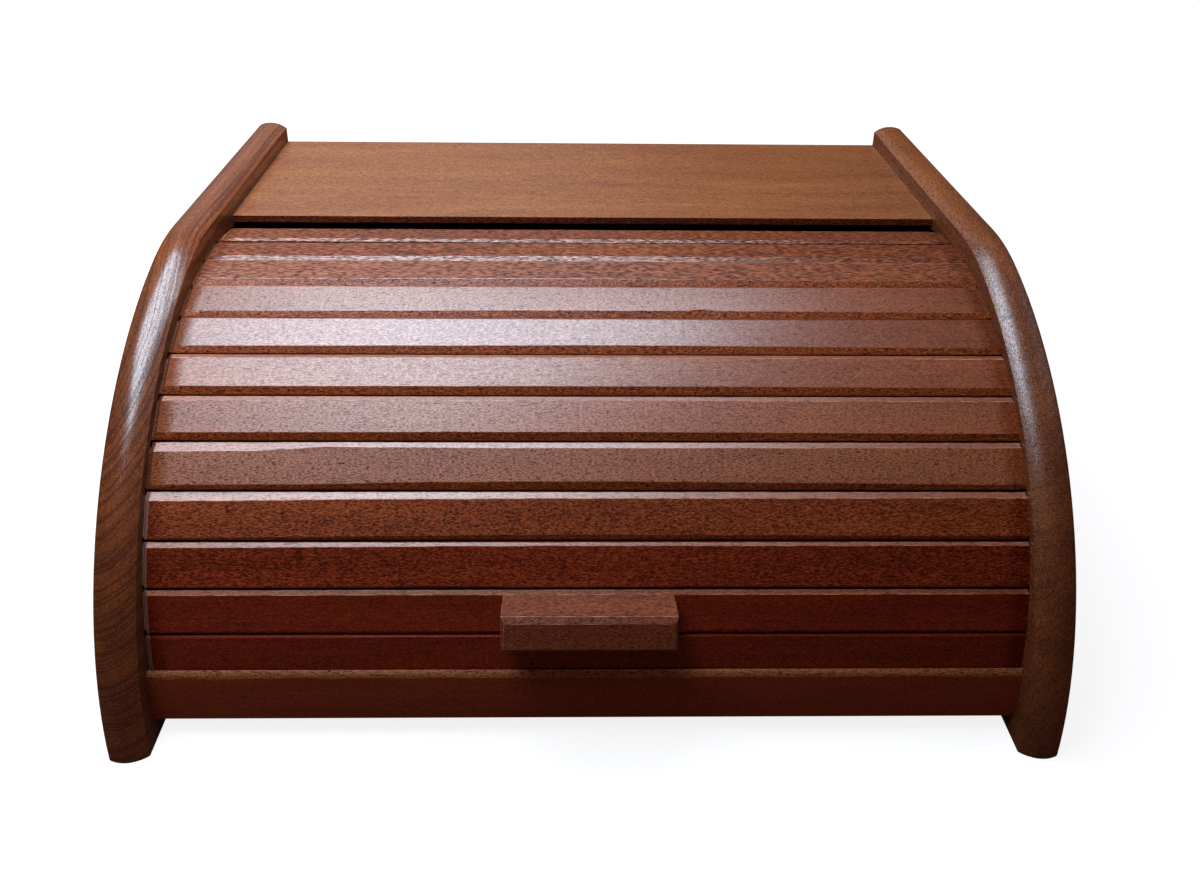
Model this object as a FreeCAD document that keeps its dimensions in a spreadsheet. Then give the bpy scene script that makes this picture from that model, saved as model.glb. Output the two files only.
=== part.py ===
"""Roll-front bread box of stained wood: two grooved sides, three boards, a front rail and a slatted roll.

Frame: millimetres, +X to the right, +Y to the back, +Z up. The origin is on the floor under the middle
of the box. Each sub-part is one object whose sizes are formulas on the sheet below.
"""
import FreeCAD
import Part
import Sketcher
import math
import os
import re

doc = FreeCAD.newDocument("bread_box")

# ---------------------------------------------------------------- driving dimensions

DIMENSIONS = (
    ("overall_width", 380.0, "outside of one side to outside of the other"),
    ("overall_depth", 292.2, "back face to the front of the feet"),
    ("overall_height", 168.4, "floor to the crest of the sides"),
    ("side_thickness", 16.0, "thickness of a side"),
    ("crown_rise", 3.4, "height of the rounded edge of a side above its inner corner"),
    ("crown_crest", 9.08, "inner face of a side to the crest of its rounded edge"),
    ("front_radius", 172.5, "radius of the curved front of a side"),
    ("front_drop", 3.0, "centre of that radius below the floor"),
    ("shoulder_radius", 80.0, "radius between the straight top and the curved front of a side"),
    ("roll_back", 140.8, "back face to the axis that the roll turns about"),
    ("roll_height", 19.6, "floor to the axis that the roll turns about"),
    ("roll_radius", 136.5, "that axis to the faces of the slats"),
    ("closed_angle", 4.59, "lower edge of the closed roll, above the horizontal"),
    ("slat_angle", 7.908, "turn from one slat to the next"),
    ("slat_width", 17.7, "width of a slat"),
    ("slat_thickness", 7.0, "thickness of a slat"),
    ("upper_bevel_width", 1.4, "width of the bevel along a slat's upper edge, measured on its face"),
    ("upper_bevel_depth", 0.8, "depth of the bevel along a slat's upper edge"),
    ("lower_bevel_width", 2.8, "width of the bevel along a slat's lower edge, measured on its face"),
    ("lower_bevel_depth", 1.9, "depth of the bevel along a slat's lower edge"),
    ("slat_end_bevel", 2.0, "bevel at the ends of a slat's face"),
    ("slat_clearance", 0.5, "end of a slat's face to the side"),
    ("corner_radius", 6.0, "rounded outer corners of the last slat"),
    ("tongue_step", 2.0, "face of a slat to its tongue"),
    ("tongue_thickness", 4.0, "thickness of a tongue"),
    ("tongue_length", 7.0, "end of a slat's face to the end of its tongue"),
    ("tongue_shoulder", 1.0, "edge of a slat to the edge of its tongue"),
    ("groove_outside", 135.1, "outer radius of the grooves that the tongues run in"),
    ("groove_inside", 130.1, "inner radius of the grooves that the tongues run in"),
    ("groove_depth", 7.3, "depth of the grooves that the tongues run in"),
    ("groove_start", 4.3, "angle of the front end of a groove"),
    ("groove_end", 184.5, "angle of the rear end of a groove"),
    ("tape_width", 40.0, "width of a cloth tape"),
    ("tape_thickness", 0.6, "thickness of a cloth tape"),
    ("tape_offset", 105.0, "middle of the box to the middle of a tape"),
    ("top_surface", 156.8, "floor to the upper face of the top board"),
    ("top_thickness", 3.4, "thickness of the top board"),
    ("top_depth", 110.2, "back face to the front edge of the top board"),
    ("housing_depth", 5.0, "depth of the slots that hold the boards"),
    ("board_clearance", 0.4, "end of a board to the bottom of its slot"),
    ("floor_underside", 11.3, "floor to the lower face of the bottom board"),
    ("floor_thickness", 6.0, "thickness of the bottom board"),
    ("rail_front", 279.4, "back face to the face of the front rail"),
    ("rail_thickness", 16.4, "thickness of the front rail"),
    ("rail_underside", 9.5, "floor to the front rail"),
    ("rail_top", 29.4, "floor to the upper face of the front rail, under the roll"),
    ("lip_top", 33.8, "floor to the top of the lip in front of the roll"),
    ("lip_back", 277.2, "back face to the inside of the lip"),
    ("rail_bevel_height", 2.1, "height of the bevel on the front rail"),
    ("rail_bevel_depth", 2.0, "depth of the bevel on the front rail"),
    ("back_thickness", 3.0, "thickness of the back panel"),
    ("back_underside", 4.0, "floor to the back panel"),
    ("rebate_width", 6.0, "width of the rebates that hold the back panel"),
    ("rebate_clearance", 0.3, "edge of the back panel to the wall of its rebate"),
    ("handle_length", 67.0, "length of the handle"),
    ("handle_reach", 17.7, "how far the handle stands out from its slat"),
    ("handle_above", 7.3, "middle of the slat to the upper face of the handle"),
    ("handle_below", 7.3, "middle of the slat to the lower face of the handle"),
    ("handle_bevel_depth", 1.1, "depth of the bevel along the upper front edge of the handle"),
    ("handle_bevel_height", 2.5, "height of the bevel along the upper front edge of the handle"),
    ("handle_lower_bevel", 2.0, "bevel along the lower front edge of the handle"),
    ("handle_end_bevel", 1.2, "bevels at the ends of the handle's front"),
    ("screw_spacing", 44.0, "distance between the handle's screws"),
    ("screw_diameter", 3.0, "diameter of a screw's shank"),
    ("screw_length", 18.0, "length of a screw"),
    ("screw_head_diameter", 6.0, "diameter of a screw's head"),
    ("screw_head_height", 1.5, "height of a screw's sunk head"),
    ("dowel_diameter", 5.0, "diameter of a dowel"),
    ("dowel_length", 30.0, "length of a dowel"),
    ("dowel_in_side", 10.0, "how far a dowel goes into the side"),
    ("dowel_back", 272.0, "back face to the dowels"),
    ("dowel_low", 14.6, "floor to the lower dowels"),
    ("dowel_high", 24.2, "floor to the upper dowels"),
    ("brad_diameter", 1.4, "diameter of a brad"),
    ("brad_length", 14.0, "length of a brad"),
    ("brad_head_diameter", 2.8, "diameter of a brad's head"),
    ("brad_head_height", 0.8, "height of a brad's head"),
    ("pin_clearance", 0.1, "how much wider a hole is than the pin in it"),
)
SLAT_COUNT = 12
HANDLE_SLAT = 11
SIDE_BRAD_HEIGHTS = (75, 110, 145)
FLOOR_BRAD_PLACES = (-150, -50, 50, 150)
OVERCUT = 1

sheet = doc.addObject("Spreadsheet::Sheet", "Sizes")
for row, (alias, value, meaning) in enumerate(DIMENSIONS, start=1):
    sheet.set(f"A{row}", meaning)
    sheet.set(f"B{row}", str(value))
    sheet.setAlias(f"B{row}", alias)
doc.recompute()

# Lengths that follow from the driving dimensions.
DERIVED = {
    "inner_half": "overall_width / 2 - side_thickness",
    "arris_height": "overall_height - crown_rise",
    "arris_depth": "overall_depth - crown_rise",
    "front_centre": "arris_depth - sqrt(front_radius^2 - front_drop^2)",
    "shoulder_rise": "arris_height - shoulder_radius + front_drop",
    "shoulder_run": "sqrt((front_radius - shoulder_radius)^2 - shoulder_rise^2)",
    "shoulder_share": "front_radius / (front_radius - shoulder_radius)",
    "crown_radius": "(crown_crest^2 + crown_rise^2) / (2 * crown_rise)",
    "crown_corner": "(side_thickness^2 - 2 * side_thickness * crown_crest)"
    " / (2 * side_thickness - 2 * crown_crest - 2 * crown_radius)",
    "crown_share": "crown_radius / (crown_radius - crown_corner)",
    "slat_half": "slat_width / 2",
    "slat_end": "inner_half - slat_clearance",
    "slat_inside": "roll_radius - slat_thickness",
    "tongue_half": "slat_half - tongue_shoulder",
    "tongue_face": "roll_radius - tongue_step",
    "top_underside": "top_surface - top_thickness",
    "board_end": "inner_half + housing_depth - board_clearance",
    "floor_surface": "floor_underside + floor_thickness",
    "rail_back": "rail_front - rail_thickness",
    "floor_front": "rail_back + housing_depth",
    "brad_offset": "inner_half + rebate_width / 2",
    "roll_y": "overall_depth / 2 - roll_back",
    "back_y": "overall_depth / 2",
}


def formula(text):
    """A formula on the names above, written out as the document reads it."""

    def spelled(found):
        name = found.group()
        if name in DERIVED:
            return "(" + formula(DERIVED[name]) + ")"
        return "Sizes." + name

    return re.sub(r"[a-z]+(?:_[a-z]+)+", spelled, str(text))


scratch = doc.addObject("Spreadsheet::Sheet", "Scratch")


def number(text):
    """What a formula comes to, as a plain number."""
    scratch.set("A1", "=" + formula(text))
    scratch.recompute()
    return float(scratch.get("A1"))


def bind(feature, **formulas):
    """Sets properties of a feature by formulas on the sheet."""
    for prop, text in formulas.items():
        feature.setExpression(prop.replace("__", "."), formula(text))


# ---------------------------------------------------------------- sketches and features


def origin_feature(body, role):
    """One of a body's own origin planes or axes."""
    return next(item for item in body.Origin.OriginFeatures if item.Role == role)


def new_sketch(body, name, role, offset):
    """A sketch on one of the body's origin planes, moved along the plane's normal."""
    sketch = body.newObject("Sketcher::SketchObject", name)
    sketch.AttachmentSupport = (origin_feature(body, role), "")
    sketch.MapMode = "FlatFace"
    bind(sketch, AttachmentOffset__Base__z=offset)
    return sketch


def pin_point(sketch, geometry, position, x, y):
    """Holds a point of a sketch at x, y, which are formulas."""
    for kind, axis, text in (("DistanceX", -2, x), ("DistanceY", -1, y)):
        value = number(text)
        if abs(value) < 1e-9:
            sketch.addConstraint(Sketcher.Constraint("PointOnObject", geometry, position, axis))
            continue
        held = sketch.addConstraint(Sketcher.Constraint(kind, -1, 1, geometry, position, value))
        sketch.setExpression(f"Constraints[{held}]", formula(text))


def arc_between(start, end, radius, side):
    """The shorter arc from start to end. side is 1 with its centre on the left of the way, -1 on the right."""
    chord = end - start
    rise = math.sqrt(radius**2 - (chord.Length / 2) ** 2)
    left = FreeCAD.Vector(-chord.y, chord.x, 0).normalize()
    centre = (start + end) / 2 + left * rise * side
    first, last = (start, end) if side > 0 else (end, start)
    circle = Part.Circle(centre, FreeCAD.Vector(0, 0, 1), radius)
    return Part.ArcOfCircle(
        circle,
        math.atan2(first.y - centre.y, first.x - centre.x),
        math.atan2(last.y - centre.y, last.x - centre.x),
    )


def outline(body, name, role, corners, arcs=None, offset="0"):
    """A closed sketch through corners, pairs of formulas. arcs gives (radius, side) for a corner's next stretch."""
    arcs = arcs or {}
    sketch = new_sketch(body, name, role, offset)
    points = [FreeCAD.Vector(number(x), number(y), 0) for x, y in corners]
    ends = []
    for index, start in enumerate(points):
        end = points[(index + 1) % len(points)]
        if index in arcs:
            radius, side = arcs[index]
            geometry = sketch.addGeometry(arc_between(start, end, number(radius), side))
            held = sketch.addConstraint(Sketcher.Constraint("Radius", geometry, number(radius)))
            sketch.setExpression(f"Constraints[{held}]", formula(radius))
            ends.append((geometry, 1, 2) if side > 0 else (geometry, 2, 1))
        else:
            geometry = sketch.addGeometry(Part.LineSegment(start, end))
            ends.append((geometry, 1, 2))
    for index, (geometry, first, _) in enumerate(ends):
        before, _, last = ends[index - 1]
        sketch.addConstraint(Sketcher.Constraint("Coincident", before, last, geometry, first))
        pin_point(sketch, geometry, first, *corners[index])
    return sketch


def circles(body, name, role, centres, diameter, offset="0"):
    """A sketch of equal circles at centres, pairs of formulas."""
    sketch = new_sketch(body, name, role, offset)
    for x, y in centres:
        centre = FreeCAD.Vector(number(x), number(y), 0)
        circle = Part.Circle(centre, FreeCAD.Vector(0, 0, 1), number(diameter) / 2)
        geometry = sketch.addGeometry(circle)
        held = sketch.addConstraint(Sketcher.Constraint("Diameter", geometry, number(diameter)))
        sketch.setExpression(f"Constraints[{held}]", formula(diameter))
        pin_point(sketch, geometry, 3, x, y)
    return sketch


def pad(body, name, sketch, length, midplane=False, backwards=False):
    """Material of a given length on a sketch."""
    feature = body.newObject("PartDesign::Pad", name)
    feature.Profile = sketch
    feature.Midplane = midplane
    feature.Reversed = backwards
    bind(feature, Length=length)
    doc.recompute()
    return feature


def pocket(body, name, sketch, depth=None, backwards=False, midplane=False):
    """A cut of a given depth, or right through where no depth is given. It has to take material away."""
    volume = body.Shape.Volume
    feature = body.newObject("PartDesign::Pocket", name)
    feature.Profile = sketch
    feature.Reversed = backwards
    feature.Midplane = midplane
    if depth is None:
        feature.Type = "ThroughAll"
    else:
        bind(feature, Length=depth)
    doc.recompute()
    if not body.Shape.Volume < volume - 1e-3:
        raise RuntimeError(f"{name} takes nothing away from {body.Label}")
    return feature


sub_parts = []


def case_piece(piece, label):
    """Names a fixed piece and puts it in place: it is drawn from the back face, on the floor."""
    piece.Label = label
    bind(piece, Placement__Base__y="back_y")
    sub_parts.append(piece)
    return piece


def roll_piece(piece, label, slats_below):
    """Names a piece of the roll, drawn at the front of the roll's circle, and turns it up past the slats below."""
    piece.Label = label
    piece.Placement.Rotation = FreeCAD.Rotation(FreeCAD.Vector(-1, 0, 0), 1)
    bind(
        piece,
        Placement__Base__y="roll_y",
        Placement__Base__z="roll_height",
        Placement__Rotation__Angle=f"closed_angle + slat_angle * {slats_below + 0.5}",
    )
    sub_parts.append(piece)
    return piece


def new_body(name):
    return doc.addObject("PartDesign::Body", name)


# ---------------------------------------------------------------- sides


def on_circle(radius, angle):
    """A point of a circle about the roll's axis, at an angle above the horizontal front, on a side."""
    return (f"-roll_back - {radius} * cos({angle})", f"roll_height + {radius} * sin({angle})")


def side(label, hand):
    """A side: a flat board with a straight top and a curved, crowned front edge. hand is 1 on the right."""
    body = new_body(label)
    inner_face = f"{hand} * inner_half"
    inwards = {"offset": inner_face}
    cut_out = hand > 0

    board = outline(
        body,
        "board",
        "YZ_Plane",
        [
            ("0", "0"),
            ("0", "arris_height"),
            ("-front_centre - shoulder_run", "arris_height"),
            (
                "-front_centre - shoulder_run * shoulder_share",
                "shoulder_rise * shoulder_share - front_drop",
            ),
            ("-arris_depth", "0"),
        ],
        arcs={2: ("shoulder_radius", 1), 3: ("front_radius", 1)},
        **inwards,
    )
    pad(body, "thickness", board, "side_thickness", backwards=hand < 0)

    crown = outline(
        body,
        "crown_section",
        "XZ_Plane",
        [
            (inner_face, "arris_height"),
            (
                f"{hand} * (inner_half + crown_crest"
                " + (side_thickness - crown_corner - crown_crest) * crown_share)",
                "arris_height + (crown_radius - crown_rise) * (crown_share - 1)",
            ),
            (f"{hand} * overall_width / 2", "arris_height"),
        ],
        arcs={0: ("crown_radius", -hand), 1: ("crown_corner", -hand)},
    )
    sweep = body.newObject("PartDesign::AdditivePipe", "crown")
    sweep.Profile = crown
    sweep.Spine = (board, ["Edge2", "Edge3", "Edge4"])
    doc.recompute()

    groove = outline(
        body,
        "roll_groove",
        "YZ_Plane",
        [
            on_circle("groove_outside", "groove_start"),
            ("-roll_back", "roll_height + groove_outside"),
            on_circle("groove_outside", "groove_end"),
            on_circle("groove_inside", "groove_end"),
            ("-roll_back", "roll_height + groove_inside"),
            on_circle("groove_inside", "groove_start"),
        ],
        arcs={
            0: ("groove_outside", -1),
            1: ("groove_outside", -1),
            3: ("groove_inside", 1),
            4: ("groove_inside", 1),
        },
        **inwards,
    )
    pocket(body, "roll_groove_cut", groove, "groove_depth", backwards=cut_out)

    for name, low, high, length, depth in (
        ("top_slot", "top_underside", "top_surface", "top_depth", "housing_depth"),
        ("floor_slot", "floor_underside", "floor_surface", "floor_front", "housing_depth"),
        ("back_rebate", f"-{OVERCUT}", "top_underside", "back_thickness", "rebate_width"),
    ):
        slot = outline(
            body,
            name,
            "YZ_Plane",
            [
                (f"{OVERCUT}", low),
                (f"{OVERCUT}", high),
                (f"-{length}", high),
                (f"-{length}", low),
            ],
            **inwards,
        )
        pocket(body, f"{name}_cut", slot, depth, backwards=cut_out)

    dowels = circles(
        body,
        "dowel_holes",
        "YZ_Plane",
        [("-dowel_back", "dowel_low"), ("-dowel_back", "dowel_high")],
        "dowel_diameter + pin_clearance",
        **inwards,
    )
    pocket(body, "dowel_holes_cut", dowels, "dowel_in_side + pin_clearance", backwards=cut_out)

    brads = circles(
        body,
        "brad_holes",
        "XZ_Plane",
        [(f"{hand} * brad_offset", f"{height}") for height in SIDE_BRAD_HEIGHTS],
        "brad_diameter + pin_clearance",
    )
    pocket(body, "brad_holes_cut", brads, "brad_length + pin_clearance", backwards=True)
    return case_piece(body, label)


side("side_panel_left", -1)
side("side_panel_right", 1)

# ---------------------------------------------------------------- boards and rail


def box_outline(body, name, role, low, high, offset="0"):
    """A rectangle between two corners, which are pairs of formulas."""
    return outline(
        body,
        name,
        role,
        [(low[0], low[1]), (high[0], low[1]), (high[0], high[1]), (low[0], high[1])],
        offset=offset,
    )


# The thin top board lies in slots of the sides, and its back edge is flush with theirs.
top_board = new_body("top_board")
plan = box_outline(
    top_board, "plan", "XY_Plane", ("-board_end", "-top_depth"), ("board_end", "0"), "top_underside"
)
pad(top_board, "thickness", plan, "top_thickness")
case_piece(top_board, "top_board")

# The bottom board lies in slots of the sides and of the front rail.
bottom_board = new_body("bottom_board")
plan = box_outline(
    bottom_board,
    "plan",
    "XY_Plane",
    ("-board_end", "-(floor_front - board_clearance)"),
    ("board_end", "-back_thickness"),
    "floor_underside",
)
pad(bottom_board, "thickness", plan, "floor_thickness")
holes = circles(
    bottom_board,
    "brad_holes",
    "XZ_Plane",
    [(f"{place}", "floor_underside + floor_thickness / 2") for place in FLOOR_BRAD_PLACES],
    "brad_diameter + pin_clearance",
)
pocket(bottom_board, "brad_holes_cut", holes, "brad_length + pin_clearance", backwards=True)
case_piece(bottom_board, "bottom_board")

# The front rail closes the box below the roll. Its lip covers the foot of the roll, and is bevelled.
front_rail = new_body("front_rail")
section = outline(
    front_rail,
    "section",
    "YZ_Plane",
    [
        ("-rail_front", "rail_underside"),
        ("-rail_back", "rail_underside"),
        ("-rail_back", "rail_top"),
        ("-lip_back", "rail_top"),
        ("-lip_back", "lip_top"),
        ("-rail_front + rail_bevel_depth", "lip_top"),
        ("-rail_front", "lip_top - rail_bevel_height"),
    ],
)
pad(front_rail, "length", section, "2 * inner_half", midplane=True)
slot = box_outline(
    front_rail,
    "floor_slot",
    "YZ_Plane",
    ("-floor_front", "floor_underside"),
    (f"-rail_back + {OVERCUT}", "floor_surface"),
)
pocket(front_rail, "floor_slot_cut", slot, midplane=True)
for name, hand in (("left", -1), ("right", 1)):
    holes = circles(
        front_rail,
        f"dowel_holes_{name}",
        "YZ_Plane",
        [("-dowel_back", "dowel_low"), ("-dowel_back", "dowel_high")],
        "dowel_diameter + pin_clearance",
        f"{hand} * inner_half",
    )
    depth = "dowel_length - dowel_in_side + pin_clearance"
    pocket(front_rail, f"dowel_holes_cut_{name}", holes, depth, backwards=hand < 0)
case_piece(front_rail, "front_rail")

# The back panel lies in rebates of the sides, behind the bottom board and under the top board.
back_panel = new_body("back_panel")
plan = box_outline(
    back_panel,
    "face",
    "XZ_Plane",
    ("-(inner_half + rebate_width - rebate_clearance)", "back_underside"),
    ("inner_half + rebate_width - rebate_clearance", "top_underside"),
)
pad(back_panel, "thickness", plan, "back_thickness")
brad_places = [
    (f"{hand} * brad_offset", f"{height}") for hand in (-1, 1) for height in SIDE_BRAD_HEIGHTS
]
brad_places += [(f"{place}", "floor_underside + floor_thickness / 2") for place in FLOOR_BRAD_PLACES]
holes = circles(
    back_panel, "brad_holes", "XZ_Plane", brad_places, "brad_diameter + pin_clearance"
)
pocket(back_panel, "brad_holes_cut", holes, backwards=True)
sinks = circles(
    back_panel, "brad_sinks", "XZ_Plane", brad_places, "brad_head_diameter + pin_clearance"
)
pocket(back_panel, "brad_sinks_cut", sinks, "brad_head_height", backwards=True)
case_piece(back_panel, "back_panel")

# ---------------------------------------------------------------- dowels and brads


def cylinder(name, diameter, length, x, y, z, axis):
    """A round pin that starts at x, y, z and runs along axis. All but the axis are formulas."""
    pin = doc.addObject("Part::Cylinder", name)
    pin.Placement.Rotation = FreeCAD.Rotation(FreeCAD.Vector(0, 0, 1), axis)
    bind(
        pin,
        Radius=f"({diameter}) / 2",
        Height=length,
        Placement__Base__x=x,
        Placement__Base__y=y,
        Placement__Base__z=z,
    )
    return pin


def group(name, pieces):
    """Equal loose pieces as one sub-part."""
    compound = doc.addObject("Part::Compound", name)
    compound.Links = pieces
    return compound


ALONG_X = FreeCAD.Vector(1, 0, 0)
FORWARDS = FreeCAD.Vector(0, -1, 0)

dowels = [
    cylinder(
        f"dowel_{name}_{level}",
        "dowel_diameter",
        "dowel_length",
        f"{start}",
        "-dowel_back",
        f"dowel_{level}",
        ALONG_X,
    )
    for name, start in (
        ("left", "-(inner_half + dowel_in_side)"),
        ("right", "inner_half + dowel_in_side - dowel_length"),
    )
    for level in ("low", "high")
]
case_piece(group("rail_dowels", dowels), "rail_dowels")

brads = []
for index, (x, z) in enumerate(brad_places, start=1):
    shank = cylinder(f"brad_shank_{index}", "brad_diameter", "brad_length", x, "0", z, FORWARDS)
    head = cylinder(
        f"brad_head_{index}", "brad_head_diameter", "brad_head_height", x, "0", z, FORWARDS
    )
    brad = doc.addObject("Part::Fuse", f"brad_{index}")
    brad.Base = shank
    brad.Tool = head
    brads.append(brad)
case_piece(group("back_brads", brads), "back_brads")

# ---------------------------------------------------------------- slats of the roll


def end_bevels(body, end, face, bevel):
    """Bevels the two ends of a face that lies across the roll at a distance from its axis."""
    for name, hand in (("left", -1), ("right", 1)):
        wedge = outline(
            body,
            f"end_wedge_{name}",
            "XY_Plane",
            [
                (f"{hand} * ({end} - {bevel} - {OVERCUT})", f"-({face} + {OVERCUT})"),
                (f"{hand} * ({end})", f"-({face} + {OVERCUT})"),
                (f"{hand} * ({end})", f"-({face} - {bevel})"),
            ],
        )
        pocket(body, f"end_bevel_{name}", wedge, midplane=True)


def slat(number_from_top):
    """A slat: a flat strip with bevelled edges and a thinner tongue at each end."""
    label = f"slat_{number_from_top:02d}"
    body = new_body(label)
    section = outline(
        body,
        "section",
        "YZ_Plane",
        [
            ("-slat_inside", "-slat_half"),
            ("-slat_inside", "slat_half"),
            ("-(roll_radius - upper_bevel_depth)", "slat_half"),
            ("-roll_radius", "slat_half - upper_bevel_width"),
            ("-roll_radius", "-(slat_half - lower_bevel_width)"),
            ("-(roll_radius - lower_bevel_depth)", "-slat_half"),
        ],
    )
    pad(body, "length", section, "2 * slat_end", midplane=True)
    tongue = box_outline(
        body,
        "tongue",
        "YZ_Plane",
        ("-tongue_face", "-tongue_half"),
        ("-(tongue_face - tongue_thickness)", "tongue_half"),
    )
    pad(body, "tongues", tongue, "2 * (slat_end + tongue_length)", midplane=True)
    end_bevels(body, "slat_end", "roll_radius", "slat_end_bevel")
    return body, label


def round_last_slat(body):
    """Rounds the two free corners of the slat at the end of the roll, tongues included."""
    for name, hand in (("left", -1), ("right", 1)):
        past_tongue = f"{hand} * (slat_end + tongue_length + {OVERCUT})"
        corner = outline(
            body,
            f"corner_{name}",
            "XZ_Plane",
            [
                (f"{hand} * (slat_end - corner_radius)", "slat_half"),
                (f"{hand} * slat_end", "slat_half - corner_radius"),
                (past_tongue, "slat_half - corner_radius"),
                (past_tongue, f"slat_half + {OVERCUT}"),
                (f"{hand} * (slat_end - corner_radius)", f"slat_half + {OVERCUT}"),
            ],
            arcs={0: ("corner_radius", -hand)},
        )
        pocket(body, f"corner_cut_{name}", corner, midplane=True)


SCREW_PLACES = ("-screw_spacing / 2", "screw_spacing / 2")


def drill_for_screws(body):
    """Holes for the handle's screws, widened at the back of the slat for their sunk heads."""
    centres = [(place, "0") for place in SCREW_PLACES]
    shanks = circles(
        body, "screw_holes", "XZ_Plane", centres, "screw_diameter + pin_clearance", "slat_inside"
    )
    pocket(body, "screw_holes_cut", shanks, "slat_thickness", backwards=True)
    heads = circles(
        body, "screw_sinks", "XZ_Plane", centres, "screw_head_diameter + pin_clearance", "slat_inside"
    )
    sink = pocket(body, "screw_sinks_cut", heads, "screw_head_height", backwards=True)
    sink.TaperAngle = -45
    doc.recompute()


for index in range(1, SLAT_COUNT + 1):
    body, label = slat(index)
    if index == 1:
        round_last_slat(body)
    if index == HANDLE_SLAT:
        drill_for_screws(body)
    roll_piece(body, label, SLAT_COUNT - index)

# ---------------------------------------------------------------- tapes, handle and screws

# Two cloth tapes are glued across the backs of the slats. Each is flat on a slat and folds between two.
for name, hand in (("left", -1), ("right", 1)):
    tape = new_body(f"cloth_tape_{name}")
    fold = outline(
        tape,
        "fold",
        "YZ_Plane",
        [
            ("-slat_inside", "-slat_inside * tan(slat_angle / 2)"),
            ("-slat_inside", "slat_inside * tan(slat_angle / 2)"),
            (
                "-(slat_inside - tape_thickness)",
                "(slat_inside - tape_thickness) * tan(slat_angle / 2)",
            ),
            (
                "-(slat_inside - tape_thickness)",
                "-(slat_inside - tape_thickness) * tan(slat_angle / 2)",
            ),
        ],
        offset=f"{hand} * tape_offset",
    )
    strip = pad(tape, "strip", fold, "tape_width", midplane=True)
    folds = tape.newObject("PartDesign::PolarPattern", "folds")
    folds.Originals = [strip]
    folds.Axis = (origin_feature(tape, "X_Axis"), [""])
    folds.Reversed = True
    folds.Occurrences = SLAT_COUNT
    bind(folds, Angle=f"slat_angle * {SLAT_COUNT - 1}")
    tape.Tip = folds
    doc.recompute()
    roll_piece(tape, f"cloth_tape_{name}", 0)

# The handle is a bar with a flat back on the face of its slat.
handle = new_body("handle")
section = outline(
    handle,
    "section",
    "YZ_Plane",
    [
        ("-roll_radius", "-handle_below"),
        ("-roll_radius", "handle_above"),
        ("-(roll_radius + handle_reach - handle_bevel_depth)", "handle_above"),
        ("-(roll_radius + handle_reach)", "handle_above - handle_bevel_height"),
        ("-(roll_radius + handle_reach)", "-(handle_below - handle_lower_bevel)"),
        ("-(roll_radius + handle_reach - handle_lower_bevel)", "-handle_below"),
    ],
)
pad(handle, "length", section, "handle_length", midplane=True)
end_bevels(handle, "handle_length / 2", "(roll_radius + handle_reach)", "handle_end_bevel")
holes = circles(
    handle,
    "screw_holes",
    "XZ_Plane",
    [(place, "0") for place in SCREW_PLACES],
    "screw_diameter + pin_clearance",
    "roll_radius",
)
pocket(handle, "screw_holes_cut", holes, "screw_length - slat_thickness + 1", backwards=True)
roll_piece(handle, "handle", SLAT_COUNT - HANDLE_SLAT)

# Two sunk-head screws hold the handle from inside.
screws = []
for index, place in enumerate(SCREW_PLACES, start=1):
    shank = cylinder(
        f"screw_shank_{index}",
        "screw_diameter",
        "screw_length",
        place,
        "-slat_inside",
        "0",
        FORWARDS,
    )
    head = doc.addObject("Part::Cone", f"screw_head_{index}")
    head.Placement.Rotation = FreeCAD.Rotation(FreeCAD.Vector(0, 0, 1), FORWARDS)
    bind(
        head,
        Radius1="screw_head_diameter / 2",
        Radius2="screw_head_diameter / 2 - screw_head_height",
        Height="screw_head_height",
        Placement__Base__x=place,
        Placement__Base__y="-slat_inside",
    )
    screw = doc.addObject("Part::Fuse", f"screw_{index}")
    screw.Base = shank
    screw.Tool = head
    screws.append(screw)
roll_piece(group("handle_screws", screws), "handle_screws", SLAT_COUNT - HANDLE_SLAT)

# ---------------------------------------------------------------- check and write

doc.removeObject(scratch.Name)
doc.recompute()
for item in doc.Objects:
    if "Invalid" in item.State or "Error" in item.State:
        raise RuntimeError(f"{item.Label} could not be worked out: {item.State}")
os.makedirs("parts", exist_ok=True)
for piece in sub_parts:
    shape = piece.Shape
    if shape.isNull() or not shape.isValid():
        raise RuntimeError(f"{piece.Label} has no sound shape")
for piece in sub_parts:
    shape = piece.Shape
    shape.exportStep(f"parts/{piece.Label}.step")
    box = shape.BoundBox
    print(
        f"{piece.Label}: {len(shape.Solids)} solid(s), {shape.Volume / 1000:.2f} cm3,"
        f" x {box.XMin:.1f} to {box.XMax:.1f}, y {box.YMin:.1f} to {box.YMax:.1f},"
        f" z {box.ZMin:.1f} to {box.ZMax:.1f}"
    )
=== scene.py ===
"""Finish of a roll-front bread box of stained beech. Metres, +X right, +Y back, +Z up, the floor at 0."""
import bpy
import bmesh
import math
from mathutils import Matrix, Vector, noise


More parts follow.
